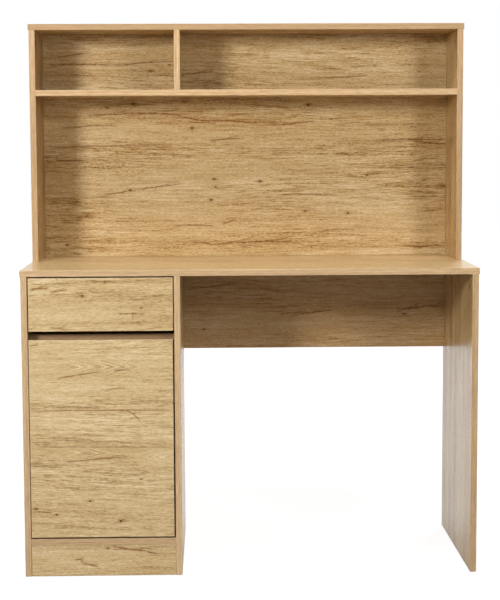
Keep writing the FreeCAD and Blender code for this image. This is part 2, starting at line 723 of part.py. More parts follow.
def door_stop():
    """A moulded stop on the right panel that the closed door rests against."""
    y = FRONTS_BACK + SEAT_GAP
    x = CAB_RIGHT
    outline = [(x, y), (x, y + STOP_DEPTH), (x - STOP_REACH / 2, y + STOP_DEPTH),
               (x - STOP_REACH, y + STOP_DEPTH / 2), (x - STOP_REACH, y)]
    top = DOOR_TOP - STOP_HEIGHT
    return prism(outline, top - STOP_HEIGHT, STOP_HEIGHT)


# ---------------------------------------------------------------- small parts in groups
def floor_glide(place):
    """A plastic nail-on glide, tapered to the floor, with its nail."""
    taper = GLIDE_HEIGHT / 2
    disc = peg(V(0, 0, -taper), Z, GLIDE_RADIUS, taper, GLIDE_SIDES)
    foot = peg(V(0, 0, -GLIDE_HEIGHT), Z, GLIDE_RADIUS, taper, GLIDE_SIDES)
    low_edges = [e for e in foot.Edges if e.BoundBox.ZMax < -GLIDE_HEIGHT + PLAY]
    foot = foot.makeChamfer(taper * 0.9, low_edges)
    nail = peg(V(0, 0, 0), Z, GLIDE_NAIL_RADIUS, GLIDE_NAIL_LENGTH)
    return disc.fuse([foot, nail]).removeSplitter().translated(place)


def shelf_pin(place, out):
    """A shelf support: a pin in the panel, a collar and a pin under the shelf."""
    pin = peg(place - out * SHELF_PIN_LENGTH, out, SHELF_PIN_RADIUS, 2 * SHELF_PIN_LENGTH)
    collar = peg(place, out, 2 * SHELF_PIN_RADIUS, SHELF_PIN_COLLAR)
    return pin.fuse(collar)


def main():
    parts = {
        "desk_top": desk_top(),
        "left_side_panel": left_side_panel(),
        "cabinet_right_panel": cabinet_right_panel(),
        "right_leg_panel": right_leg_panel(),
        "modesty_panel": modesty_panel(),
        "cabinet_bottom": cabinet_bottom(),
        "kick_plate": kick_plate(),
        "cabinet_back": cabinet_back(),
        "drawer_shelf": drawer_shelf(),
        "cupboard_shelf": cupboard_shelf(),
        "hutch_left_side": hutch_side(LEFT),
        "hutch_right_side": hutch_side(RIGHT - BOARD),
        "hutch_top": hutch_top(),
        "hutch_shelf": hutch_shelf(),
        "hutch_divider": hutch_divider(),
        "hutch_back_panel": hutch_back_panel(),
        "drawer_front": drawer_front(),
        "drawer_left_side": drawer_left_side(),
        "drawer_right_side": mirrored(drawer_left_side()),
        "drawer_back": drawer_back(),
    }
    parts = {name: drilled(name, shape) for name, shape in parts.items()}

    parts["desk_cams"] = Part.makeCompound([f.cam for f in DESK_FITTINGS])
    parts["desk_cam_bolts"] = Part.makeCompound([f.bolt for f in DESK_FITTINGS])
    parts["hutch_cams"] = Part.makeCompound([f.cam for f in HUTCH_FITTINGS])
    parts["hutch_cam_bolts"] = Part.makeCompound([f.bolt for f in HUTCH_FITTINGS])
    parts["floor_glides"] = Part.makeCompound([floor_glide(p) for p in glide_places()])
    parts["shelf_pins"] = Part.makeCompound([shelf_pin(p, o) for p, o in shelf_pin_places()])

    parts["drawer_bottom"] = drawer_bottom()
    parts["drawer_cams"] = Part.makeCompound([f.cam for f in DRAWER_FITTINGS])
    parts["drawer_cam_bolts"] = Part.makeCompound([f.bolt for f in DRAWER_FITTINGS])
    screws = [drawer_screw(p, into) for p, into in drawer_screw_places()]
    parts["drawer_screws"] = Part.makeCompound(screws)
    runner_set = {
        "cabinet_runner": left_cabinet_runner(),
        "drawer_runner": left_drawer_runner(),
        "front_roller": roller(FRONT_ROLLER),
        "rear_roller": roller(REAR_ROLLER),
    }
    for name, shape in runner_set.items():
        parts["left_" + name] = shape
        parts["right_" + name] = mirrored(shape)

    parts["door_panel"] = door_panel()
    parts["door_stop"] = door_stop()
    for where, height in HINGE_HEIGHTS.items():
        parts[where + "_hinge_cup"] = hinge_cup(height)
        parts[where + "_hinge_link"] = hinge_link(height)
        parts[where + "_hinge_arm"] = hinge_arm(height)
        parts[where + "_hinge_base_plate"] = hinge_base_plate(height)
    parts["hinge_base_screws"] = Part.makeCompound([
        screw(p + X * ARM_STEEL, -X) for h in HINGE_HEIGHTS.values() for p in hinge_screw_places(h)
    ])
    parts["hinge_cup_screws"] = Part.makeCompound([
        screw(p, -Y) for h in HINGE_HEIGHTS.values() for p in cup_screw_places(h)
    ])

    os.makedirs("parts", exist_ok=True)
    for name, shape in parts.items():
        shape.exportStep("parts/" + name + ".step")


main()
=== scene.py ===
"""Looks of the student desk with hutch: oak-print melamine boards, their fittings, and a plain
white studio. Metres; +Z is up and the front faces -Y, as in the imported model.
"""

import math
from collections import namedtuple

import bmesh
import bpy
from mathutils import Matrix, Vector


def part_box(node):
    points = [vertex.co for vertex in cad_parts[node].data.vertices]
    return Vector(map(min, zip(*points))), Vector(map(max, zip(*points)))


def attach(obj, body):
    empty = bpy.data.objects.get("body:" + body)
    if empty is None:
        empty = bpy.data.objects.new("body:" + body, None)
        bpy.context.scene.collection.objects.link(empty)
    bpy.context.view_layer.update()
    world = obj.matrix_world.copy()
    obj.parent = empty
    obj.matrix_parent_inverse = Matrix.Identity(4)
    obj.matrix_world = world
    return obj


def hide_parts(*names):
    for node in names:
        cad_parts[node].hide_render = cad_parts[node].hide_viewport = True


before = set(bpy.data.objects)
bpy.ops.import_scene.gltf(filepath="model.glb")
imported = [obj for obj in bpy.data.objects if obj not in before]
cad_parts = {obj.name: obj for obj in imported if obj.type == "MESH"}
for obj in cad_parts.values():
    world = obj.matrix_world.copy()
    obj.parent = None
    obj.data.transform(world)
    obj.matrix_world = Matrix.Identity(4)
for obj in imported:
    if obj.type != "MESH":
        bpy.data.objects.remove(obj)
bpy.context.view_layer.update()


# ---------------------------------------------------------------- colours
def srgb(r, g, b):
    """A display colour, 0 to 255, as the linear colour that a shader takes."""
    shares = [v / 255 for v in (r, g, b)]
    return tuple(s / 12.92 if s <= 0.04045 else ((s + 0.055) / 1.055) ** 2.4 for s in shares) + (1,)


OAK_TONES = (              # darkest to lightest grain of the printed oak
    (0.14, srgb(122, 81, 34)),
    (0.34, srgb(176, 138, 83)),
    (0.50, srgb(204, 173, 120)),
    (0.64, srgb(213, 185, 137)),
    (0.86, srgb(230, 207, 167)),
)
OAK_PALE = srgb(242, 219, 172)
OAK_CRACK = srgb(134, 80, 0)
OAK_KNOT = srgb(98, 55, 4)
# Painted shade: the warmer, darker brown of the shade under the desk top, laid on the modesty panel
OAK_PAINTED_SHADE = srgb(150, 88, 20)
EDGE_TONES = (             # darkest to lightest edge banding
    (0.0, srgb(134, 104, 74)),
    (0.5, srgb(185, 150, 109)),
    (0.83, srgb(222, 189, 145)),
)
FOIL_DARK = srgb(196, 164, 120)
FOIL_LIGHT = srgb(224, 198, 158)
FIBRE_DARK = srgb(98, 70, 44)
FIBRE_LIGHT = srgb(140, 106, 70)


# ---------------------------------------------------------------- shader building
class Nodes:
    """A node tree being built; the functions below call it n. An input takes a number, a vector,
    a colour or another node's output."""

    def __init__(self, tree):
        self.tree = tree

    def feed(self, socket, value):
        """Links another node's output to a socket, or writes a plain value on it."""
        if isinstance(value, bpy.types.NodeSocket):
            self.tree.links.new(value, socket)
        else:
            socket.default_value = value

    def give(self, sockets, *values):
        """Feeds the outputs of a group that is being built, in their order."""
        for socket, value in zip(sockets, values):
            self.feed(socket, value)

    def add(self, kind, inputs=None, **settings):
        node = self.tree.nodes.new("ShaderNode" + kind)
        for name, value in settings.items():
            setattr(node, name, value)
        for name, value in (inputs or {}).items():
            self.feed(node.inputs[name], value)
        return node

    def group(self, tree, inputs):
        return self.add("Group", inputs, node_tree=tree).outputs

    def math(self, operation, *values):
        return self.add("Math", dict(enumerate(values)), operation=operation).outputs[0]

    def total(self, *values):
        result = values[0]
        for value in values[1:]:
            result = self.math("ADD", result, value)
        return result

    def swing(self, noise, reach):
        """A noise, 0 to 1, as a change of up to reach either way."""
        return self.math("MULTIPLY_ADD", noise, 2 * reach, -reach)

    def ease(self, value, low, high, to_low=0.0, to_high=1.0, curve="SMOOTHSTEP"):
        """Goes smoothly from to_low, where the value is low, to to_high, where it is high."""
        inputs = {"Value": value, "From Min": low, "From Max": high, "To Min": to_low,
                  "To Max": to_high}
        return self.add("MapRange", inputs, interpolation_type=curve, clamp=False).outputs[0]

    def fade(self, value, low, high, start=1.0):
        """Goes smoothly from start, where the value is low, to nothing, where it is high."""
        return self.ease(value, low, high, start, 0.0)

    def line(self, value, low, high, to_low=0.0, to_high=1.0):
        """As ease, but in a straight line that goes on past both ends."""
        return self.ease(value, low, high, to_low, to_high, "LINEAR")

    def scaled(self, vector, scale):
        inputs = {0: vector, 1: scale}
        return self.add("VectorMath", inputs, operation="MULTIPLY").outputs[0]

    def noise(self, vector, scale, detail=2.0, roughness=0.5):
        inputs = {"Vector": self.scaled(vector, scale), "Scale": 1.0, "Detail": detail,
                  "Roughness": roughness}
        return self.add("TexNoise", inputs).outputs[0]

    def split(self, vector):
        return self.add("SeparateXYZ", {0: vector}).outputs

    def join(self, x, y, z):
        return self.add("CombineXYZ", {0: x, 1: y, 2: z}).outputs[0]

    def mix(self, share, first, second):
        """A colour that has the given share of the second colour, and the rest of the first."""
        return self.add("Mix", {0: share, 6: first, 7: second}, data_type="RGBA").outputs[2]

    def ramp(self, value, stops):
        node = self.add("ValToRGB", {0: value})
        elements = node.color_ramp.elements
        while len(elements) < len(stops):
            elements.new(1.0)
        for element, (place, colour) in zip(elements, stops):
            element.position, element.color = place, colour
        return node.outputs[0]


def new_group(name, inputs, outputs):
    """An empty node group; returns its Nodes, its input values and its output sockets."""
    tree = bpy.data.node_groups.new(name, "ShaderNodeTree")
    for label in inputs:
        kind = "NodeSocketVector" if label == "Position" else "NodeSocketFloat"
        tree.interface.new_socket(label, in_out="INPUT", socket_type=kind)
    for label in outputs:
        tree.interface.new_socket(label, in_out="OUTPUT", socket_type="NodeSocketFloat")
    given = tree.nodes.new("NodeGroupInput").outputs
    results = tree.nodes.new("NodeGroupOutput").inputs
    return Nodes(tree), given, results


def new_material(name):
    material = bpy.data.materials.new(name)
    material.use_nodes = True
    shader = material.node_tree.nodes["Principled BSDF"]
    return material, Nodes(material.node_tree), shader


# ---------------------------------------------------------------- the printed oak
# How often each noise of the grain changes in a metre: along the grain, across it, into the board.
SWELL, WAVE, RIPPLE = (1.1, 4.2, 4.2), (6.5, 30, 30), (34, 110, 110)
BANDS, STREAKS, LINES = (0.9, 22, 22), (7, 85, 85), (10, 210, 210)
DASHES, FINE, PATCHES = (34, 400, 400), (120, 760, 760), (2.6, 5.5, 5.5)
ZONES, RIDGES, GATES, PORES = (1.7, 13, 13), (1.6, 44, 44), (5.5, 19, 19), (42, 1000, 1000)
RELIEF = (50, 760, 760)
SWELL_BEND, WAVE_BEND, RIPPLE_BEND = 0.025, 0.0028, 0.0006     # metres across the grain
BANDS_TONE = (0.38, 0.70)
STREAK_TONE, DASH_TONE, FINE_TONE, PATCH_TONE = 0.14, 0.425, 0.36, 0.06     # up and down
CALM, LIVELY = 0.50, 1.10         # how strong the fine grain is in the two kinds of zone
RIDGE_WIDTH = 0.022
PORE_SHARE = 0.22
# The noise levels between which a zone, a gate for dark lines or a pore goes from none to full
ZONE_EDGES, GATE_EDGES, PORE_EDGES = (0.38, 0.66), (0.56, 0.70), (0.62, 0.74)


def figure_group():
    """The printed oak's grain. Position is (along the grain, across it, into the board), and
    Shift bends the grain, as round a knot. Line is where its thin dark lines and pores are."""
    n, given, result = new_group("oak figure", ["Position", "Shift"], ["Tone", "Line"])
    place = given["Position"]
    along, across, depth = n.split(place)
    swell = n.swing(n.noise(place, SWELL), SWELL_BEND)
    wave = n.swing(n.noise(place, WAVE), WAVE_BEND)
    ripple = n.swing(n.noise(place, RIPPLE), RIPPLE_BEND)
    bent = n.total(across, given["Shift"], swell, wave, ripple)
    grain = n.join(along, bent, depth)

    bands = n.noise(grain, BANDS, 2.0, 0.55)
    streaks = n.noise(grain, STREAKS, 1.0)
    lines = n.noise(grain, LINES, 2.0, 0.60)
    dashes = n.noise(grain, DASHES, 1.0)
    fine = n.noise(grain, FINE, 2.0, 0.6)
    patches = n.noise(place, PATCHES, 1.0)
    zones = n.ease(n.noise(grain, ZONES), *ZONE_EDGES)
    lively = n.line(zones, 0, 1, CALM, LIVELY)
    tone = n.total(
        n.line(bands, 0.2, 0.8, *BANDS_TONE),
        n.swing(streaks, STREAK_TONE),
        n.math("MULTIPLY", n.math("SUBTRACT", lines, 0.5), lively),
        n.math("MULTIPLY", n.swing(dashes, DASH_TONE), lively),
        n.line(fine, 0.2, 0.8, -FINE_TONE, FINE_TONE),
        n.line(patches, 0.25, 0.75, -PATCH_TONE, PATCH_TONE),
    )
    ridge = n.math("ABSOLUTE", n.math("SUBTRACT", n.noise(grain, RIDGES, 1.0), 0.5))
    gate = n.ease(n.noise(grain, GATES), *GATE_EDGES)
    dark_line = n.math("MULTIPLY", n.fade(ridge, 0.0, RIDGE_WIDTH), gate)
    pores = n.ease(n.noise(grain, PORES, 1.0), *PORE_EDGES)
    n.give(result, tone, n.math("MAXIMUM", dark_line, n.math("MULTIPLY", pores, PORE_SHARE)))
    return n.tree


def oval(n, along, across, half_length, half_height):
    """How far a point is from the middle of an oval, 1 on its rim."""
    return n.math("SQRT", n.total(
        n.math("POWER", n.math("DIVIDE", along, half_length), 2.0),
        n.math("POWER", n.math("DIVIDE", across, half_height), 2.0),
    ))


def from_middle(n, given):
    """How far a point is from a feature's middle (At, Height), along the grain and across it."""
    ahead = n.math("SUBTRACT", given["Along"], given["At"])
    above = n.math("SUBTRACT", given["Across"], given["Height"])
    return ahead, above


# A knot's parts, in its radii
CORE_LENGTH = 1.15
HALO_LENGTH, HALO_HEIGHT = 5.0, 2.3
CHECK_LENGTH, CHECK_HEIGHT = 9.0, 0.42
PUSH_LENGTH, PUSH_HEIGHT = 9.0, 5.0
PUSH = 0.75                       # how much of its place across the grain the print gives way
HALO_SHADE, CHECK_SHADE = 0.62, 0.6
HALO_RAGS = 0.8                   # how ragged the halo is, set against the core


# Each feature below takes its noises from outside: what several features share is made once.
def knot_group():
    """A pin knot: its core, the brown halo and the thin check that run along the grain, and how
    it pushes the grain aside."""
    n, given, result = new_group(
        "oak knot", ["Along", "Across", "Ragged", *KNOT_INPUTS], ["Core", "Halo", "Shift"]
    )
    size, ragged = given["Size"], given["Ragged"]
    ahead, above = from_middle(n, given)

    def radii(count):
        return n.math("MULTIPLY", size, count)

    far = n.math("ADD", oval(n, ahead, above, radii(CORE_LENGTH), size), ragged)
    core = n.fade(far, 0.40, 1.50)
    wide = oval(n, ahead, above, radii(HALO_LENGTH), radii(HALO_HEIGHT))
    halo = n.fade(n.math("MULTIPLY_ADD", ragged, HALO_RAGS, wide), 0.0, 1.1, HALO_SHADE)
    reach = n.math("DIVIDE", n.math("ABSOLUTE", ahead), radii(CHECK_LENGTH))
    thin = n.math("DIVIDE", n.math("ABSOLUTE", above), radii(CHECK_HEIGHT))
    check = n.math("MULTIPLY", n.fade(reach, 0.0, 1.0, CHECK_SHADE), n.fade(thin, 0.2, 1.0))
    near = n.fade(oval(n, ahead, above, radii(PUSH_LENGTH), radii(PUSH_HEIGHT)), 0.0, 1.0)
    shift = n.math("MULTIPLY", n.math("MULTIPLY", above, -PUSH), near)
    n.give(result, core, n.math("MAXIMUM", halo, check), shift)
    return n.tree


# A crack's parts, in its half widths: where the second strand lies beside the first at the two
# ends, and how far its soft rim and its pale fringe reach
STRAND_ENDS = (3.0, -4.2)
RIM, FRINGE = 3.2, 4.5
FIRST_SHADE, SECOND_SHADE, RIM_SHADE, FRINGE_SHADE = 0.94, 0.62, 0.30, 0.15
BLUNT = 0.3                       # the share of its width that a strand keeps at its ends


def crack_group():
    """A check in the print from (From, From Height) to (To, To Height), widest in the middle: two
    strands that cross, with a soft rim and a pale fringe."""
    n, given, result = new_group(
        "oak crack", ["Along", "Across", "Wobble", "Rough", *CRACK_INPUTS], ["Mask", "Fringe"]
    )
    along, width = given["Along"], given["Width"]
    share = n.line(along, given["From"], given["To"])
    centre = n.line(along, given["From"], given["To"], given["From Height"], given["To Height"])
    taper = n.math("MULTIPLY", n.math("MULTIPLY", share, n.math("SUBTRACT", 1.0, share)), 4.0)
    side = n.math("MULTIPLY_ADD", given["Wobble"], width,
                  n.math("SUBTRACT", given["Across"], centre))
    off = n.math("ABSOLUTE", side)
    spread = n.math("MULTIPLY", n.line(share, 0.0, 1.0, *STRAND_ENDS), width)
    second_off = n.math("ABSOLUTE", n.math("ADD", side, spread))
    swelling = n.math("MULTIPLY_ADD", taper, 1 - BLUNT, BLUNT)
    half = n.math("MULTIPLY", n.math("MULTIPLY", swelling, width), given["Rough"])
    first = n.fade(n.math("DIVIDE", off, half), 0.10, 1.0, FIRST_SHADE)
    second = n.fade(n.math("DIVIDE", second_off, half), 0.10, 1.0, SECOND_SHADE)
    core = n.math("MAXIMUM", first, second)
    rim = n.fade(n.math("DIVIDE", off, n.math("MULTIPLY", width, RIM)), 0.0, 1.0, RIM_SHADE)
    mask = n.math("MULTIPLY", n.math("MAXIMUM", core, rim), n.ease(taper, 0.0, 0.45))
    outer = n.math("DIVIDE", off, n.math("MULTIPLY", width, FRINGE))
    fringe = n.math("MULTIPLY", n.fade(outer, 0.25, 1.0, FRINGE_SHADE), n.ease(taper, 0.1, 0.8))
    n.give(result, mask, fringe)
    return n.tree


def arch_group():
    """A cathedral arch of the grain that points along it, round (At, Height): the place across
    its rings, and how far inside the arch's oval a point is."""
    n, given, result = new_group(
        "oak arch", ["Along", "Across", "Sway", *ARCH_INPUTS], ["Ring", "Near"]
    )
    ahead, above = from_middle(n, given)
    bent = n.math("ADD", above, given["Sway"])
    rounded = n.math("SQRT", n.math("MULTIPLY_ADD", bent, bent, ARCH_TIP))
    ring = n.math("ADD", rounded, n.math("MULTIPLY", ahead, given["Slope"]))
    near = n.fade(oval(n, ahead, above, given["Reach"], given["Spread"]), 0.35, 1.0)
    n.give(result, ring, near)
    return n.tree


def curl_group():
    """Where pale curly flecks cross the grain, in an oval round (At, Height)."""
    n, given, result = new_group("oak curl", ["Along", "Across", "Flecks", *CURL_INPUTS], ["Mask"])
    ahead, above = from_middle(n, given)
    near = n.fade(oval(n, ahead, above, given["Reach"], given["Spread"]), 0.2, 1.0)
    n.give(result, n.math("MULTIPLY", near, given["Flecks"]))
    return n.tree


KNOT_INPUTS = ("At", "Height", "Size")
CRACK_INPUTS = ("From", "From Height", "To", "To Height", "Width")
CURL_INPUTS = ("At", "Height", "Reach", "Spread")
ARCH_INPUTS = ("At", "Height", "Reach", "Spread", "Slope")
ARCH_PITCH, ARCH_DEPTH = 0.0078, 0.10     # from ring to ring, in metres, and how dark a ring is
ARCH_TIP = 0.000003               # how much the arch's tip is rounded, in square metres
FIGURE, KNOT, CRACK = figure_group(), knot_group(), crack_group()
ARCH, CURL = arch_group(), curl_group()
AXES = "XYZ"


# Metres between the places from which two boards in a row take their print
SEED_ALONG, SEED_ACROSS = 7.31, 3.17
PORE_DEPTH = 0.0004
# How often the edge band's noises change in a metre: through the board's thickness, along the edge
EDGE_THREADS, EDGE_STRANDS, EDGE_CLOUDS = (900, 16), (420, 34), (260, 2.2)


def board_place(n, thickness, grain, seed):
    """(along, across, into the board) of a point of a board, and how squarely it lies on one of
    the board's two wide faces."""
    across = next(a for a in AXES if a not in (thickness, grain))
    coordinates = n.add("TexCoord")
    xyz = dict(zip(AXES, n.split(coordinates.outputs["Object"])))
    normal = dict(zip(AXES, n.split(coordinates.outputs["Normal"])))
    place = n.join(
        n.math("ADD", xyz[grain], SEED_ALONG * seed),
        n.math("ADD", xyz[across], SEED_ACROSS * seed),
        xyz[thickness],
    )
    return xyz[grain], xyz[across], place, n.math("ABSOLUTE", normal[thickness])


def relief(n, place, strength):
    """The print's shallow pores, as a bumped normal."""
    pores = n.noise(place, RELIEF, 2.0, 0.6)
    inputs = {"Strength": strength, "Distance": PORE_DEPTH, "Height": pores}
    return n.add("Bump", inputs).outputs[0]


def edge_band(n, thickness, lighter):
    """The edge banding's colour, with its grain along the edge."""
    place = n.add("TexCoord").outputs["Object"]

    def noise(scales, detail):
        through, level = scales
        return n.noise(place, [through if a == thickness else level for a in AXES], detail)

    share = n.total(
        n.line(noise(EDGE_THREADS, 1.0), 0.25, 0.75, 0.00, 0.55),
        n.line(noise(EDGE_STRANDS, 2.0), 0.25, 0.75, -0.30, 0.38),
        n.line(noise(EDGE_CLOUDS, 1.0), 0.25, 0.75, -0.16 + lighter, 0.40 + lighter),
    )
    return n.ramp(n.line(share, -1.5, 1.5), EDGE_TONES)


# How often the features' noises change in a metre, along the grain and across it
ARCH_WAVES, RAGS, FLECKS = (22, 60, 1), (420, 480, 1), (95, 420, 1)
CRACK_SWAYS, CRACK_WOBBLES, CRACK_WIDTHS = (13, 3, 1), (75, 16, 1), (95, 90, 1)
ARCH_SWAY = 0.003                 # metres
ARCH_LAYER = 0.4                  # how deep in the noises the arches' own grain lies, in metres
CRACK_SWAY, CRACK_WOBBLE, NARROW, WIDE = 2.5, 0.9, 0.42, 1.60     # in a crack's half widths
FLECK_LEAN, FLECK_TURN = 0.5, -1.1
FLECK_EDGES, FLECK_SHARE = (0.50, 0.72), 0.80


def feature(n, tree, shared, names, values):
    """The outputs of one feature's group, from what all share and the feature's own numbers."""
    return n.group(tree, {**shared, **dict(zip(names, values))})


def arched(n, at, tone, arches):
    """The grain's tone, with cathedral arches laid into it."""
    spot = n.join(at["Along"], at["Across"], 0.0)
    shared = {**at, "Sway": n.swing(n.noise(spot, ARCH_WAVES, 1.0), ARCH_SWAY)}
    ring, near = 0.0, 0.0
    for arch in arches:
        value, inside = feature(n, ARCH, shared, ARCH_INPUTS, arch)
        here = n.math("GREATER_THAN", inside, 0.0)
        ring = n.math("MULTIPLY_ADD", value, here, ring)
        near = n.math("MAXIMUM", near, inside)
    layer = n.join(at["Along"], ring, ARCH_LAYER)
    inner = n.group(FIGURE, {"Position": layer, "Shift": 0.0})[0]
    rings = n.math("SINE", n.math("MULTIPLY", ring, 2 * math.pi / ARCH_PITCH))
    inner = n.math("MULTIPLY_ADD", rings, ARCH_DEPTH, inner)
    return n.total(tone, n.math("MULTIPLY", near, n.math("SUBTRACT", inner, tone)))


def knotted(n, at, knots):
    """Cores, halos and bent grain of a board's knots."""
    ragged = n.noise(n.join(at["Along"], at["Across"], 0.0), RAGS, 2.0)
    shared = {**at, "Ragged": n.swing(ragged, 1.0)}
    cores, halos, shift = 0.0, 0.0, 0.0
    for knot in knots:
        core, halo, push = feature(n, KNOT, shared, KNOT_INPUTS, knot)
        cores = n.math("MAXIMUM", cores, core)
        halos = n.math("MAXIMUM", halos, halo)
        shift = n.math("ADD", push, shift)
    return cores, halos, shift


def cracked(n, at, cracks):
    """Dark lines and pale fringes of a board's cracks."""
    spot = n.join(at["Along"], at["Across"], 0.0)
    sway = n.swing(n.noise(spot, CRACK_SWAYS, 1.0), CRACK_SWAY)
    wobble = n.swing(n.noise(spot, CRACK_WOBBLES, 2.0), CRACK_WOBBLE)
    rough = n.ease(n.noise(spot, CRACK_WIDTHS, 1.0), 0.30, 0.70, NARROW, WIDE)
    shared = {**at, "Wobble": n.math("ADD", sway, wobble), "Rough": rough}
    lines, fringes = 0.0, 0.0
    for crack in cracks:
        mask, fringe = feature(n, CRACK, shared, CRACK_INPUTS, crack)
        lines = n.math("MAXIMUM", lines, mask)
        fringes = n.math("MAXIMUM", fringes, fringe)
    return lines, fringes


def curled(n, at, curls):
    """Pale flecks that lie across the grain."""
    lean = n.math("MULTIPLY_ADD", at["Along"], FLECK_LEAN, at["Across"])
    turn = n.math("MULTIPLY_ADD", at["Across"], FLECK_TURN, at["Along"])
    noise = n.noise(n.join(turn, lean, 0.0), FLECKS, 1.0)
    flecks = n.ease(noise, *FLECK_EDGES, 0.0, FLECK_SHARE)
    shared = {**at, "Flecks": flecks}
    result = 0.0
    for curl in curls:
        mask = feature(n, CURL, shared, CURL_INPUTS, curl)[0]
        result = n.math("MAXIMUM", result, mask)
    return result


# How rough a print's dark and pale strokes are. The hutch's top is nearly level with the left
# lamp, which a smooth face there would mirror.
BOARD_GLOSS = (0.31, 0.23)
TOP_GLOSS = (0.84, 0.80)
MIDDLE_TONE = 0.54                # the tone that more contrast leaves as it is
PALE_CONTRAST = 0.2               # how much contrast a fully pale print gains
LINE_SHARE, KNOT_SHARE = 0.50, 0.92
FACE_EDGES = (0.80, 0.90)         # how square a point lies where the banding gives way to the face
OAK_RELIEF, FOIL_RELIEF = 0.24, 0.1

# A board's thickness axis and grain axis. What its print shows: knots are (along, across,
# radius), cracks (along, across, along, across, half width), arches (along, across, reach,
# spread, slope), curls (along, across, reach, spread). Then how much lighter its grain is, how
# far it leans to the pale colour (on the desk top and the fronts partly painted light), how far
# it leans to a darker, warmer brown that is painted shade (deep), how much lighter its edge band
# is, and its gloss.
Board = namedtuple(
    "Board", "thickness grain knots cracks arches curls lighter pale deep band gloss",
    defaults=((), (), (), (), 0.0, 0.0, 0.0, 0.0, BOARD_GLOSS),
)


def oak(name, board, seed):
    """Oak-print melamine with banded edges."""
    material, n, shader = new_material(name)
    along, across, place, square = board_place(n, board.thickness, board.grain, seed)
    at = {"Along": along, "Across": across}
    cores, halos, shift = knotted(n, at, board.knots)
    tone, line = n.group(FIGURE, {"Position": place, "Shift": shift})
    if board.arches:
        tone = arched(n, at, tone, board.arches)
    contrast = 1 + PALE_CONTRAST * board.pale
    tone = n.math("MULTIPLY_ADD", tone, contrast, board.lighter + MIDDLE_TONE * (1 - contrast))
    face = n.ramp(tone, OAK_TONES)
    # Paler print; on the desk top this is partly painted sheen, and on the fronts partly painted
    # light where they face the lamps.
    if board.pale:
        face = n.mix(board.pale, face, OAK_PALE)
    # Painted shade: the print pulled towards a darker, warmer brown, as in the shade under the desk
    # top
    if board.deep:
        face = n.mix(board.deep, face, OAK_PAINTED_SHADE)
    face = n.mix(n.math("MULTIPLY", line, LINE_SHARE), face, OAK_CRACK)
    if board.curls:
        face = n.mix(curled(n, at, board.curls), face, OAK_PALE)
    if board.cracks:
        lines, fringes = cracked(n, at, board.cracks)
        face = n.mix(fringes, face, OAK_PALE)
        face = n.mix(n.math("MAXIMUM", lines, halos), face, OAK_CRACK)
        face = n.mix(n.math("MULTIPLY", cores, KNOT_SHARE), face, OAK_KNOT)
    colour = n.mix(n.ease(square, *FACE_EDGES), edge_band(n, board.thickness, board.band), face)
    n.feed(shader.inputs["Base Color"], colour)
    n.feed(shader.inputs["Roughness"], n.line(tone, 0.2, 0.8, *board.gloss))
    n.feed(shader.inputs["Normal"], relief(n, place, OAK_RELIEF))
    return material


# ---------------------------------------------------------------- what each board's print shows
# Places in metres: along x and z on the upright boards that face the front.
HUTCH_BACK_KNOTS = (
    (-0.295, 1.150, 0.0031), (-0.365, 1.140, 0.0022), (-0.162, 1.155, 0.0015),
    (-0.142, 1.086, 0.0028), (-0.307, 0.923, 0.0028), (-0.084, 0.951, 0.0026),
    (-0.079, 0.930, 0.0022), (-0.093, 0.896, 0.0025), (-0.476, 0.778, 0.0022),
    (0.166, 1.146, 0.0034), (0.038, 0.945, 0.0028), (0.323, 0.960, 0.0025),
    (0.475, 0.946, 0.0019), (0.526, 0.930, 0.0025), (0.272, 0.859, 0.0022),
    (0.158, 0.865, 0.0022), (-0.250, 1.236, 0.0025), (-0.200, 1.252, 0.0019),
)
HUTCH_BACK_CRACKS = (
    (-0.425, 1.118, -0.290, 1.130, 0.0025), (-0.320, 1.128, -0.170, 1.121, 0.0028),
    (-0.200, 1.123, -0.085, 1.102, 0.0031), (-0.105, 1.108, 0.030, 1.098, 0.0030),
    (-0.160, 1.105, -0.075, 1.098, 0.0022), (-0.490, 1.087, -0.330, 1.096, 0.0020),
    (-0.100, 1.054, -0.010, 1.057, 0.0022), (-0.530, 1.036, -0.190, 1.045, 0.0016),
    (-0.380, 0.911, -0.290, 0.923, 0.0016), (-0.310, 0.922, -0.160, 0.940, 0.0018),
    (-0.195, 0.829, -0.080, 0.829, 0.0018), (-0.065, 0.834, -0.025, 0.842, 0.0020),
    (-0.150, 0.783, -0.070, 0.780, 0.0030), (-0.085, 0.779, 0.030, 0.784, 0.0034),
    (-0.010, 0.782, 0.130, 0.788, 0.0030), (0.060, 1.096, 0.190, 1.100, 0.0024),
    (0.330, 1.052, 0.540, 1.054, 0.0022), (0.440, 1.050, 0.545, 1.040, 0.0034),
    (0.110, 0.913, 0.250, 0.905, 0.0016), (-0.530, 1.255, -0.340, 1.252, 0.0024),
    (-0.360, 1.252, -0.175, 1.262, 0.0020), (-0.500, 1.272, -0.400, 1.284, 0.0018),
    (-0.180, 1.226, -0.080, 1.236, 0.0022), (0.180, 1.215, 0.330, 1.222, 0.0018),
)
HUTCH_BACK_CURLS = ((-0.370, 0.978, 0.200, 0.026), (-0.060, 0.797, 0.110, 0.014),
                    (0.150, 1.140, 0.050, 0.014))
DRAWER_KNOTS = ((-0.402, 0.686, 0.0025), (-0.347, 0.719, 0.0022), (-0.262, 0.656, 0.0016))
DRAWER_CRACKS = (
    (-0.530, 0.699, -0.480, 0.706, 0.0024), (-0.480, 0.696, -0.435, 0.700, 0.0018),
    (-0.380, 0.718, -0.315, 0.721, 0.0018), (-0.318, 0.643, -0.252, 0.640, 0.0018),
    (-0.283, 0.621, -0.262, 0.619, 0.0016), (-0.480, 0.612, -0.440, 0.605, 0.0018),
    (-0.235, 0.684, -0.205, 0.686, 0.0014), (-0.2828, 0.637, -0.2794, 0.621, 0.0060),
    (-0.4618, 0.733, -0.4582, 0.721, 0.0050),
)
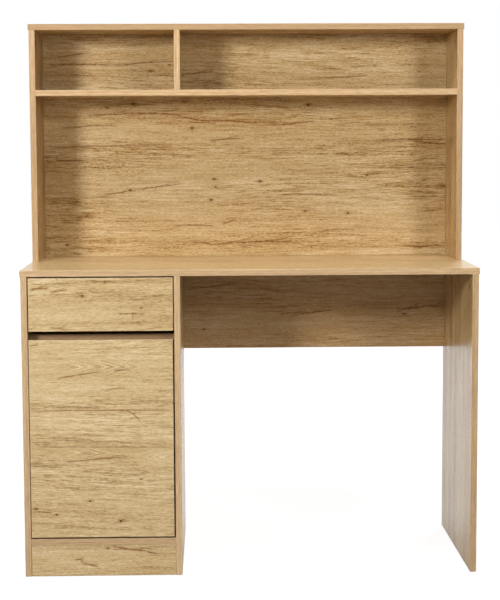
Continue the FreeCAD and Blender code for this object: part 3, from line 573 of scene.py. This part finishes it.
DOOR_KNOTS = (
    (-0.266, 0.241, 0.0016), (-0.390, 0.188, 0.0017), (-0.520, 0.170, 0.0024),
    (-0.470, 0.155, 0.0019), (-0.316, 0.138, 0.0028),
)
DOOR_CRACKS = (
    (-0.530, 0.569, -0.505, 0.569, 0.0018), (-0.470, 0.487, -0.350, 0.506, 0.0016),
    (-0.330, 0.505, -0.285, 0.506, 0.0016), (-0.535, 0.410, -0.185, 0.409, 0.0011),
    (-0.535, 0.322, -0.187, 0.319, 0.0009), (-0.460, 0.284, -0.290, 0.297, 0.0015),
    (-0.530, 0.163, -0.480, 0.162, 0.0018), (-0.350, 0.460, -0.300, 0.462, 0.0013),
    (-0.322, 0.410, -0.286, 0.405, 0.0016), (-0.295, 0.407, -0.276, 0.395, 0.0018),
    (-0.280, 0.398, -0.266, 0.382, 0.0020),
)
MODESTY_KNOTS = ((0.424, 0.588, 0.0022), (-0.114, 0.550, 0.0019))
MODESTY_CRACKS = (
    (0.085, 0.588, 0.165, 0.598, 0.0018), (0.110, 0.591, 0.235, 0.597, 0.0030),
    (0.060, 0.607, 0.150, 0.612, 0.0022),
    (0.400, 0.603, 0.470, 0.603, 0.0034), (0.440, 0.606, 0.535, 0.608, 0.0026),
    (-0.160, 0.660, -0.010, 0.672, 0.0020),
)
KICK_KNOTS = ((-0.348, 0.071, 0.0021),)
KICK_CRACKS = (
    (-0.430, 0.043, -0.405, 0.041, 0.0018), (-0.412, 0.034, -0.370, 0.026, 0.0018),
    (-0.345, 0.076, -0.220, 0.056, 0.0030), (-0.4138, 0.043, -0.4104, 0.032, 0.0050),
)
DOOR_ARCHES = ((-0.350, 0.515, 0.170, 0.027, 0.27), (-0.410, 0.306, 0.110, 0.016, 0.22),
               (-0.215, 0.295, 0.075, 0.030, -0.20))

BOARDS = {
    # The desk top's paler print is partly painted sheen.
    "desk_top": Board("Z", "X", lighter=-0.20, pale=0.24, band=0.14),
    "hutch_top": Board("Z", "X", lighter=-0.18, pale=0.08, band=-0.70, gloss=TOP_GLOSS),
    "hutch_shelf": Board("Z", "X"),
    "cabinet_bottom": Board("Z", "X", band=-0.15),
    "drawer_shelf": Board("Z", "X", band=-0.75),
    "cupboard_shelf": Board("Z", "X"),
    "hutch_back_panel": Board("Y", "X", HUTCH_BACK_KNOTS, HUTCH_BACK_CRACKS, (), HUTCH_BACK_CURLS),
    # The modesty panel's browner print (deep) is painted shade from the desk top above it.
    "modesty_panel": Board("Y", "X", MODESTY_KNOTS, MODESTY_CRACKS, lighter=0.03, deep=0.30),
    # The fronts' paler print is partly painted light where they face the lamps.
    "kick_plate": Board("Y", "X", KICK_KNOTS, KICK_CRACKS, lighter=-0.02, pale=0.06),
    "drawer_front": Board("Y", "X", DRAWER_KNOTS, DRAWER_CRACKS, lighter=-0.03, pale=0.18),
    "door_panel": Board("Y", "X", DOOR_KNOTS, DOOR_CRACKS, DOOR_ARCHES, lighter=-0.01, pale=0.22),
    "left_side_panel": Board("X", "Z", lighter=-0.17),
    "cabinet_right_panel": Board("X", "Z", band=0.10),
    "right_leg_panel": Board("X", "Z", lighter=-0.05, band=-0.15),
    # The hutch's side boards are darker partly as painted shade: the shade on their inner faces.
    "hutch_left_side": Board("X", "Z", lighter=-0.23, band=-0.24),
    "hutch_right_side": Board("X", "Z", lighter=-0.14, band=-0.55),
    "hutch_divider": Board("X", "Z"),
}


def dress(node, material):
    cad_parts[node].material_slots[0].material = material


def dress_boards():
    for seed, (node, board) in enumerate(BOARDS.items(), 1):
        dress(node, oak(node, board, seed))


# ---------------------------------------------------------------- other materials
FOIL_SEED, FOIL_ROUGHNESS = 3.0, 0.5
FOIL_STREAKS = (5, 90, 160)       # changes in a metre
FIBRE_SPECKS = (420, 420, 420)
PRINT_ROUGHNESS, FIBRE_ROUGHNESS = 0.42, 0.72
CLOUDS, GRIT = (37.5,) * 3, (1800,) * 3
CLOUD_GLOSS = 0.05                # how far a plain finish's roughness goes up and down
GRIT_STRENGTH, GRIT_DEPTH = 0.05, 0.0002


def foil(name, thickness, grain):
    """The drawer box's paper foil: a paler, calmer oak."""
    material, n, shader = new_material(name)
    _, _, place, _ = board_place(n, thickness, grain, FOIL_SEED)
    tone, _ = n.group(FIGURE, {"Position": place, "Shift": 0.0})
    n.feed(shader.inputs["Base Color"], n.mix(n.line(tone, 0.2, 0.8), FOIL_DARK, FOIL_LIGHT))
    n.feed(shader.inputs["Roughness"], FOIL_ROUGHNESS)
    n.feed(shader.inputs["Normal"], relief(n, place, FOIL_RELIEF))
    return material


def hardboard(name):
    """Hardboard, printed on its front or upper side and bare brown fibre behind."""
    material, n, shader = new_material(name)
    coordinates = n.add("TexCoord")
    place = coordinates.outputs["Object"]
    _, back, up = n.split(coordinates.outputs["Normal"])
    bare = n.math("GREATER_THAN", n.math("SUBTRACT", back, up), 0.5)
    specks = n.line(n.noise(place, FIBRE_SPECKS, 4.0, 0.7), 0.3, 0.7)
    fibre = n.mix(specks, FIBRE_DARK, FIBRE_LIGHT)
    streaks = n.line(n.noise(place, FOIL_STREAKS, 3.0), 0.3, 0.7)
    printed = n.mix(streaks, FOIL_DARK, FOIL_LIGHT)
    roughness = n.math("MULTIPLY_ADD", bare, FIBRE_ROUGHNESS - PRINT_ROUGHNESS, PRINT_ROUGHNESS)
    n.feed(shader.inputs["Base Color"], n.mix(bare, printed, fibre))
    n.feed(shader.inputs["Roughness"], roughness)
    return material


def surface(name, dark, light, roughness, metallic=0.0):
    """A plain finish with a little variation in colour, gloss and surface."""
    material, n, shader = new_material(name)
    place = n.add("TexCoord").outputs["Object"]
    cloud = n.noise(place, CLOUDS, 2.0)
    grit = n.noise(place, GRIT, 2.0)
    bump = n.add("Bump", {"Strength": GRIT_STRENGTH, "Distance": GRIT_DEPTH, "Height": grit})
    spread = n.line(cloud, 0.3, 0.7, roughness - CLOUD_GLOSS, roughness + CLOUD_GLOSS)
    n.feed(shader.inputs["Base Color"], n.mix(cloud, dark, light))
    n.feed(shader.inputs["Roughness"], spread)
    n.feed(shader.inputs["Metallic"], metallic)
    n.feed(shader.inputs["Normal"], bump.outputs[0])
    return material


DRAWER_BOX = ("drawer_left_side", "drawer_right_side", "drawer_back")


def dress_fittings():
    steel = surface("powder coated steel", srgb(222, 221, 216), srgb(234, 233, 228), 0.42)
    nylon = surface("nylon", srgb(214, 213, 206), srgb(228, 227, 220), 0.5)
    nickel = surface("nickel plated steel", srgb(184, 180, 172), srgb(206, 203, 196), 0.36, 1.0)
    zinc = surface("zinc", srgb(150, 148, 144), srgb(182, 180, 175), 0.38, 1.0)
    plastic = surface("dark plastic", srgb(58, 46, 38), srgb(72, 58, 48), 0.45)
    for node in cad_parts:
        if "runner" in node:
            dress(node, steel)
        elif "hinge" in node:
            dress(node, nickel)
        elif node.endswith("bolts"):
            dress(node, zinc)
    dress("door_stop", plastic)
    dress("cabinet_back", hardboard("hardboard back"))
    dress("drawer_bottom", hardboard("hardboard drawer floor"))
    side_foil = foil("drawer side foil", "X", "Y")
    dress("drawer_left_side", side_foil)
    dress("drawer_right_side", side_foil)
    dress("drawer_back", foil("drawer back foil", "Y", "X"))
    cams("desk_cams", "desk", zinc)
    cams("hutch_cams", "desk", zinc)
    cams("drawer_cams", "drawer", zinc)
    screws("hinge_base_screws", "desk", nickel, PAN_HEAD, PAN_RISE, HINGE_SHANK)
    screws("hinge_cup_screws", "door", nickel, PAN_HEAD, PAN_RISE, HINGE_SHANK)
    screws("drawer_screws", "drawer", zinc, FLAT_HEAD, FLAT_RISE, DRAWER_SHANK)
    shelf_pins(zinc)
    floor_glides(plastic)
    wheels(nylon)


# ---------------------------------------------------------------- turned fittings
MM = 0.001
SIDES = 40
# Profiles are (radius, height along the axis) in millimetres, from the hidden end outwards. Height
# 0 is the face that the fitting stands on or in, a cam's outer end, or a wheel's left side.
CAM_EDGE = ((7.4, -0.5), (7.0, -0.05))
GLIDE_PROFILE = ((1.2, -14), (1.2, 0), (6.4, 0), (6.9, 0.4), (6.9, 1.5), (6.0, 2.5), (4.0, 3.0))
PIN_PROFILE = ((1.6, -8), (2.45, -7.3), (2.45, 0), (4.2, 0), (4.6, 0.3), (4.6, 0.7), (4.2, 0.95),
               (2.5, 1.1), (2.5, 7.3), (1.7, 8))
PAN_HEAD = ((4.1, 0), (4.2, 0.35), (4.0, 0.85), (3.5, 1.3), (2.9, 1.6))
FLAT_HEAD = ((3.1, -0.6), (3.4, 0), (3.3, 0.15), (2.9, 0.2))
WHEEL_PROFILE = ((2.6, 0), (4.0, 0), (4.4, 0.3), (4.7, 1.1), (7.2, 1.1), (7.6, 0.2), (7.9, 0),
                 (9.3, 0), (9.8, 0.2), (10, 0.7), (10, 5.3), (9.8, 5.8), (9.3, 6), (7.9, 6),
                 (7.6, 5.8), (7.2, 4.9), (4.7, 4.9), (4.4, 5.7), (4.0, 6), (2.6, 6))
# How far the CAD screw's outer end lies above height 0 of the head's profile
PAN_RISE, FLAT_RISE = PAN_HEAD[-1][1], 0.0
HINGE_SHANK, DRAWER_SHANK = 2.3, 2.4      # radii
TIP_RADIUS, TIP_LENGTH, NECK_LENGTH = 0.3, 3, 0.2
CAM_CROSS = (3.4, 0.8, 1.7)       # arm, half width and depth of a driver's recess, millimetres
SCREW_CROSS = (1.9, 0.42, 1.1)
CROSS_TAPER = 0.7                 # how much of its size the recess keeps at its foot
WELD = 1e-6                       # metres
FLUSH = 0.3 * MM                  # a fitting that ends this near a board's face leaves it there
CREASE = math.radians(40)


def solids(node):
    """The lowest and highest corner of each separate solid of a node."""
    shape = bmesh.new()
    shape.from_mesh(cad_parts[node].data)
    bmesh.ops.remove_doubles(shape, verts=shape.verts, dist=WELD)
    left, boxes = set(shape.verts), []
    while left:
        reached = [left.pop()]
        for vert in reached:       # the list grows while it is read, until the solid is complete
            others = {edge.other_vert(vert) for edge in vert.link_edges} & left
            left -= others
            reached.extend(others)
        boxes.append([Vector(pick(v.co[i] for v in reached) for i in range(3))
                      for pick in (min, max)])
    shape.free()
    return sorted(boxes, key=lambda corners: tuple(round(c, 5) for c in corners[0]))


def way_out(low, high, axis):
    """Where a fitting leaves its board along an axis: the middle of its outer end, the direction
    out of the board, and where along that direction the board's face is."""
    middle = (low + high) / 2
    hosts = [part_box(node) for node in (*BOARDS, *DRAWER_BOX)]
    for a, b in hosts:
        if all(a[i] - MM < middle[i] < b[i] + MM for i in range(3)):
            sign = -1 if low[axis] < a[axis] + FLUSH else 1
            out = Vector(sign if i == axis else 0 for i in range(3))
            end, face = (low, a) if sign < 0 else (high, b)
            middle[axis] = end[axis]
            return middle, out, abs(end[axis] - face[axis])
    raise ValueError("a fitting is in no board")


def turned(shape, place, out, profile, closed=False):
    """A turned form round the axis 'out' through place. Returns its last ring."""
    side = out.orthogonal().normalized()
    other = out.cross(side)
    turns = [2 * math.pi * i / SIDES for i in range(SIDES)]
    rings = []
    for radius, height in profile:
        rings.append([shape.verts.new(
            place + out * height * MM + (side * math.cos(t) + other * math.sin(t)) * radius * MM
        ) for t in turns])
    pairs = list(zip(rings, rings[1:])) + ([(rings[-1], rings[0])] if closed else [])
    for low, high in pairs:
        for i in range(SIDES):
            j = (i + 1) % SIDES
            shape.faces.new((low[i], low[j], high[j], high[i]))
    if not closed:
        shape.faces.new(rings[0])
    return rings[-1]


def cross_cap(shape, ring, out, cross):
    """Closes a ring with a flat face that has a driver's cross sunk into it."""
    arm, half, depth = (v * MM for v in cross)
    place = sum((v.co for v in ring), Vector()) / len(ring)
    side = out.orthogonal().normalized()
    other = out.cross(side)
    outline = []
    for turn in range(4):
        for u, v in ((arm, -half), (arm, half), (half, half)):
            for _ in range(turn):
                u, v = -v, u
            outline.append(side * u + other * v)
    mouth = [shape.verts.new(place + p) for p in outline]
    foot = [shape.verts.new(place + p * CROSS_TAPER - out * depth) for p in outline]
    count = len(outline)
    rims = [[shape.edges.get(pair) or shape.edges.new(pair) for pair in zip(r, r[1:] + r[:1])]
            for r in (ring, mouth)]
    bmesh.ops.triangle_fill(shape, edges=rims[0] + rims[1], use_beauty=True)
    for i in range(count):
        j = (i + 1) % count
        shape.faces.new((mouth[i], mouth[j], foot[j], foot[i]))
    shape.faces.new(foot)


def add_piece(shape, name, material, body, node):
    """Makes the piece that stands for a CAD node and rides on its body."""
    bmesh.ops.recalc_face_normals(shape, faces=shape.faces)
    mesh = bpy.data.meshes.new(name)
    shape.to_mesh(mesh)
    shape.free()
    mesh.shade_smooth()
    mesh.set_sharp_from_angle(angle=CREASE)
    mesh.materials.append(material)
    piece = bpy.data.objects.new(name, mesh)
    bpy.context.collection.objects.link(piece)
    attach(piece, body)
    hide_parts(node)


def cams(node, body, material):
    """Cam locks: drums with a driver's cross, each level with its board's face."""
    shape = bmesh.new()
    for low, high in solids(node):
        size = high - low
        axis = min(range(3), key=lambda i: size[i])
        place, out, _ = way_out(low, high, axis)
        hidden_end = (CAM_EDGE[0][0], -size[axis] / MM)
        ring = turned(shape, place, out, (hidden_end, *CAM_EDGE))
        cross_cap(shape, ring, out, CAM_CROSS)
    add_piece(shape, node + "_turned", material, body, node)


def screws(node, body, material, head, rise, shank):
    """Cross-head screws: head is the head's profile, and shank the thread's radius."""
    shape = bmesh.new()
    for low, high in solids(node):
        size = high - low
        axis = max(range(3), key=lambda i: size[i])
        place, out, _ = way_out(low, high, axis)
        tip = rise - size[axis] / MM
        profile = ((TIP_RADIUS, tip), (shank, tip + TIP_LENGTH), (shank, head[0][1] - NECK_LENGTH))
        ring = turned(shape, place - out * rise * MM, out, (*profile, *head))
        cross_cap(shape, ring, out, SCREW_CROSS)
    add_piece(shape, node + "_turned", material, body, node)


def shelf_pins(material):
    """Pins half in a side board's bore and half under the shelf, with a collar between."""
    shape = bmesh.new()
    for low, high in solids("shelf_pins"):
        place, out, proud = way_out(low, high, 0)
        ring = turned(shape, place - out * proud, out, PIN_PROFILE)
        shape.faces.new(ring)
    add_piece(shape, "shelf_pins_turned", material, "desk", "shelf_pins")


def floor_glides(material):
    """Nailed glides under the uprights."""
    shape = bmesh.new()
    for low, high in solids("floor_glides"):
        middle = (low + high) / 2
        proud = GLIDE_PROFILE[-1][1] * MM
        place = Vector((middle.x, middle.y, low.z + proud))
        ring = turned(shape, place, Vector((0, 0, -1)), GLIDE_PROFILE)
        shape.faces.new(ring)
    add_piece(shape, "floor_glides_turned", material, "desk", "floor_glides")


def wheels(material):
    """The runners' rollers."""
    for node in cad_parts:
        if node.endswith("roller"):
            low, high = (Vector(c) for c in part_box(node))
            middle = (low + high) / 2
            shape = bmesh.new()
            turned(shape, Vector((low.x, middle.y, middle.z)), Vector((1, 0, 0)), WHEEL_PROFILE,
                   closed=True)
            add_piece(shape, node + "_wheel", material, node, node)


# ---------------------------------------------------------------- studio
EYE = Vector((-0.0935, -4.0077, 1.0543))
YAW, PITCH, ROLL = 0.02449, -0.10068, -0.00441      # right, up, clockwise; radians
LENS, SENSOR = 95.09, 36.0


def add_camera():
    data = bpy.data.cameras.new("camera")
    data.lens, data.sensor_width = LENS, SENSOR
    camera = bpy.data.objects.new("camera", data)
    level = math.cos(PITCH)
    forward = Vector((math.sin(YAW) * level, math.cos(YAW) * level, math.sin(PITCH)))
    side = Vector((math.cos(YAW), -math.sin(YAW), 0))
    up = side.cross(forward)
    right = side * math.cos(ROLL) + up * math.sin(ROLL)
    top = up * math.cos(ROLL) - side * math.sin(ROLL)
    turn = Matrix((right, top, -forward)).transposed()
    camera.matrix_world = Matrix.Translation(EYE) @ turn.to_4x4()
    bpy.context.collection.objects.link(camera)
    bpy.context.scene.camera = camera


def softbox(name, place, aim, width, height, power):
    data = bpy.data.lights.new(name, "AREA")
    data.shape, data.size, data.size_y, data.energy = "RECTANGLE", width, height, power
    lamp = bpy.data.objects.new(name, data)
    lamp.location = place
    lamp.rotation_mode = "QUATERNION"
    lamp.rotation_quaternion = (aim - place).to_track_quat("-Z", "Y")
    lamp.visible_camera = False
    bpy.context.collection.objects.link(lamp)


WHITE = (1, 1, 1, 1)
# Strengths of the world, where 1 is white
BACKGROUND = 1.0
FRONT_FILL, BACK_FILL, FRONT_GLOSS = 0.005, 0.22, 0.08
WORLD_TURN = 0.25                 # the front turns into the back between -0.25 and 0.25
# Metres
FLOOR_HALF = 14.0
FLOOR_TURN = 0.5
FLOOR_NEAR, FLOOR_FAR = 1.0, 3.2  # between them the floor's glow rises to white
FLOOR_GLOW, FLOOR_DIFFUSE, FLOOR_BOUNCE = 0.90, 0.25, 0.40


def add_world():
    """White to the camera. A glossy ray finds white behind the desk and a dimmer room in front;
    the fill light, too, comes mostly from the white side behind the desk."""
    world = bpy.data.worlds.new("studio")
    bpy.context.scene.world = world
    world.use_nodes = True
    n = Nodes(world.node_tree)
    path = n.add("LightPath")
    _, back, _ = n.split(n.add("TexCoord").outputs["Generated"])
    gloss = n.ease(back, -WORLD_TURN, WORLD_TURN, FRONT_GLOSS, BACKGROUND)
    gloss = n.math("MULTIPLY", gloss, path.outputs["Is Glossy Ray"])
    fill = n.ease(back, -WORLD_TURN, WORLD_TURN, FRONT_FILL, BACK_FILL)
    seen = n.math("MAXIMUM", path.outputs["Is Camera Ray"], path.outputs["Is Transmission Ray"])
    strength = n.math("MAXIMUM", n.math("MAXIMUM", fill, gloss), n.math("MULTIPLY", seen, BACKGROUND))
    background = world.node_tree.nodes["Background"]
    n.feed(background.inputs["Strength"], strength)
    n.feed(background.inputs["Color"], WHITE)


def add_floor():
    """A white floor: seen, it stays white but keeps the desk's shadow; otherwise it is a plain
    pale surface that throws light back."""
    mesh = bpy.data.meshes.new("floor")
    corners = [(x, y, 0) for x, y in ((-1, -1), (1, -1), (1, 1), (-1, 1))]
    mesh.from_pydata([Vector(c) * FLOOR_HALF for c in corners], [], [(0, 1, 2, 3)])
    floor = bpy.data.objects.new("floor", mesh)
    bpy.context.collection.objects.link(floor)
    material = bpy.data.materials.new("floor")
    material.use_nodes = True
    n = Nodes(material.node_tree)
    material.node_tree.nodes.remove(material.node_tree.nodes["Principled BSDF"])
    path = n.add("LightPath")
    seen = n.math("MAXIMUM", path.outputs["Is Camera Ray"], path.outputs["Is Glossy Ray"])
    place = n.add("TexCoord").outputs["Object"]
    away = n.add("VectorMath", {0: place}, operation="LENGTH")
    rise = n.ease(away.outputs["Value"], FLOOR_NEAR, FLOOR_FAR, FLOOR_GLOW, 1.0)
    front = n.fade(n.split(place)[1], -FLOOR_TURN, FLOOR_TURN, 1.0 - FRONT_GLOSS)
    dim = n.math("SUBTRACT", 1.0, n.math("MULTIPLY", front, path.outputs["Is Glossy Ray"]))
    glow = n.add("Emission", {"Color": WHITE, "Strength": n.math("MULTIPLY", rise, dim)})
    shade = n.add("BsdfDiffuse", {"Color": (FLOOR_DIFFUSE,) * 3 + (1,)})
    pale = n.add("BsdfDiffuse", {"Color": (FLOOR_BOUNCE,) * 3 + (1,)})
    both = n.add("AddShader", {0: glow.outputs[0], 1: shade.outputs[0]})
    mixed = n.add("MixShader", {0: seen, 1: pale.outputs[0], 2: both.outputs[0]})
    output = material.node_tree.nodes["Material Output"]
    n.feed(output.inputs["Surface"], mixed.outputs[0])
    mesh.materials.append(material)


AIM = Vector((0.0, 0.1, 0.75))
# name: (place in metres, width, height, watts)
LAMPS = {
    "left softbox": ((-2.15, -2.90, 1.70), 0.62, 0.55, 72.0),
    "right softbox": ((1.85, -2.65, 1.62), 0.62, 0.90, 32.0),
    "top softbox": ((0.0, -0.76, 3.0), 2.0, 0.8, 54.0),
    "back softbox": ((1.9, 2.9, 1.8), 1.2, 0.9, 45.0),
}


def add_lamps():
    for name, (place, width, height, power) in LAMPS.items():
        softbox(name, Vector(place), AIM, width, height, power)


dress_boards()
dress_fittings()
add_camera()
add_world()
add_floor()
add_lamps()
bpy.context.scene.view_settings.view_transform = "Standard"
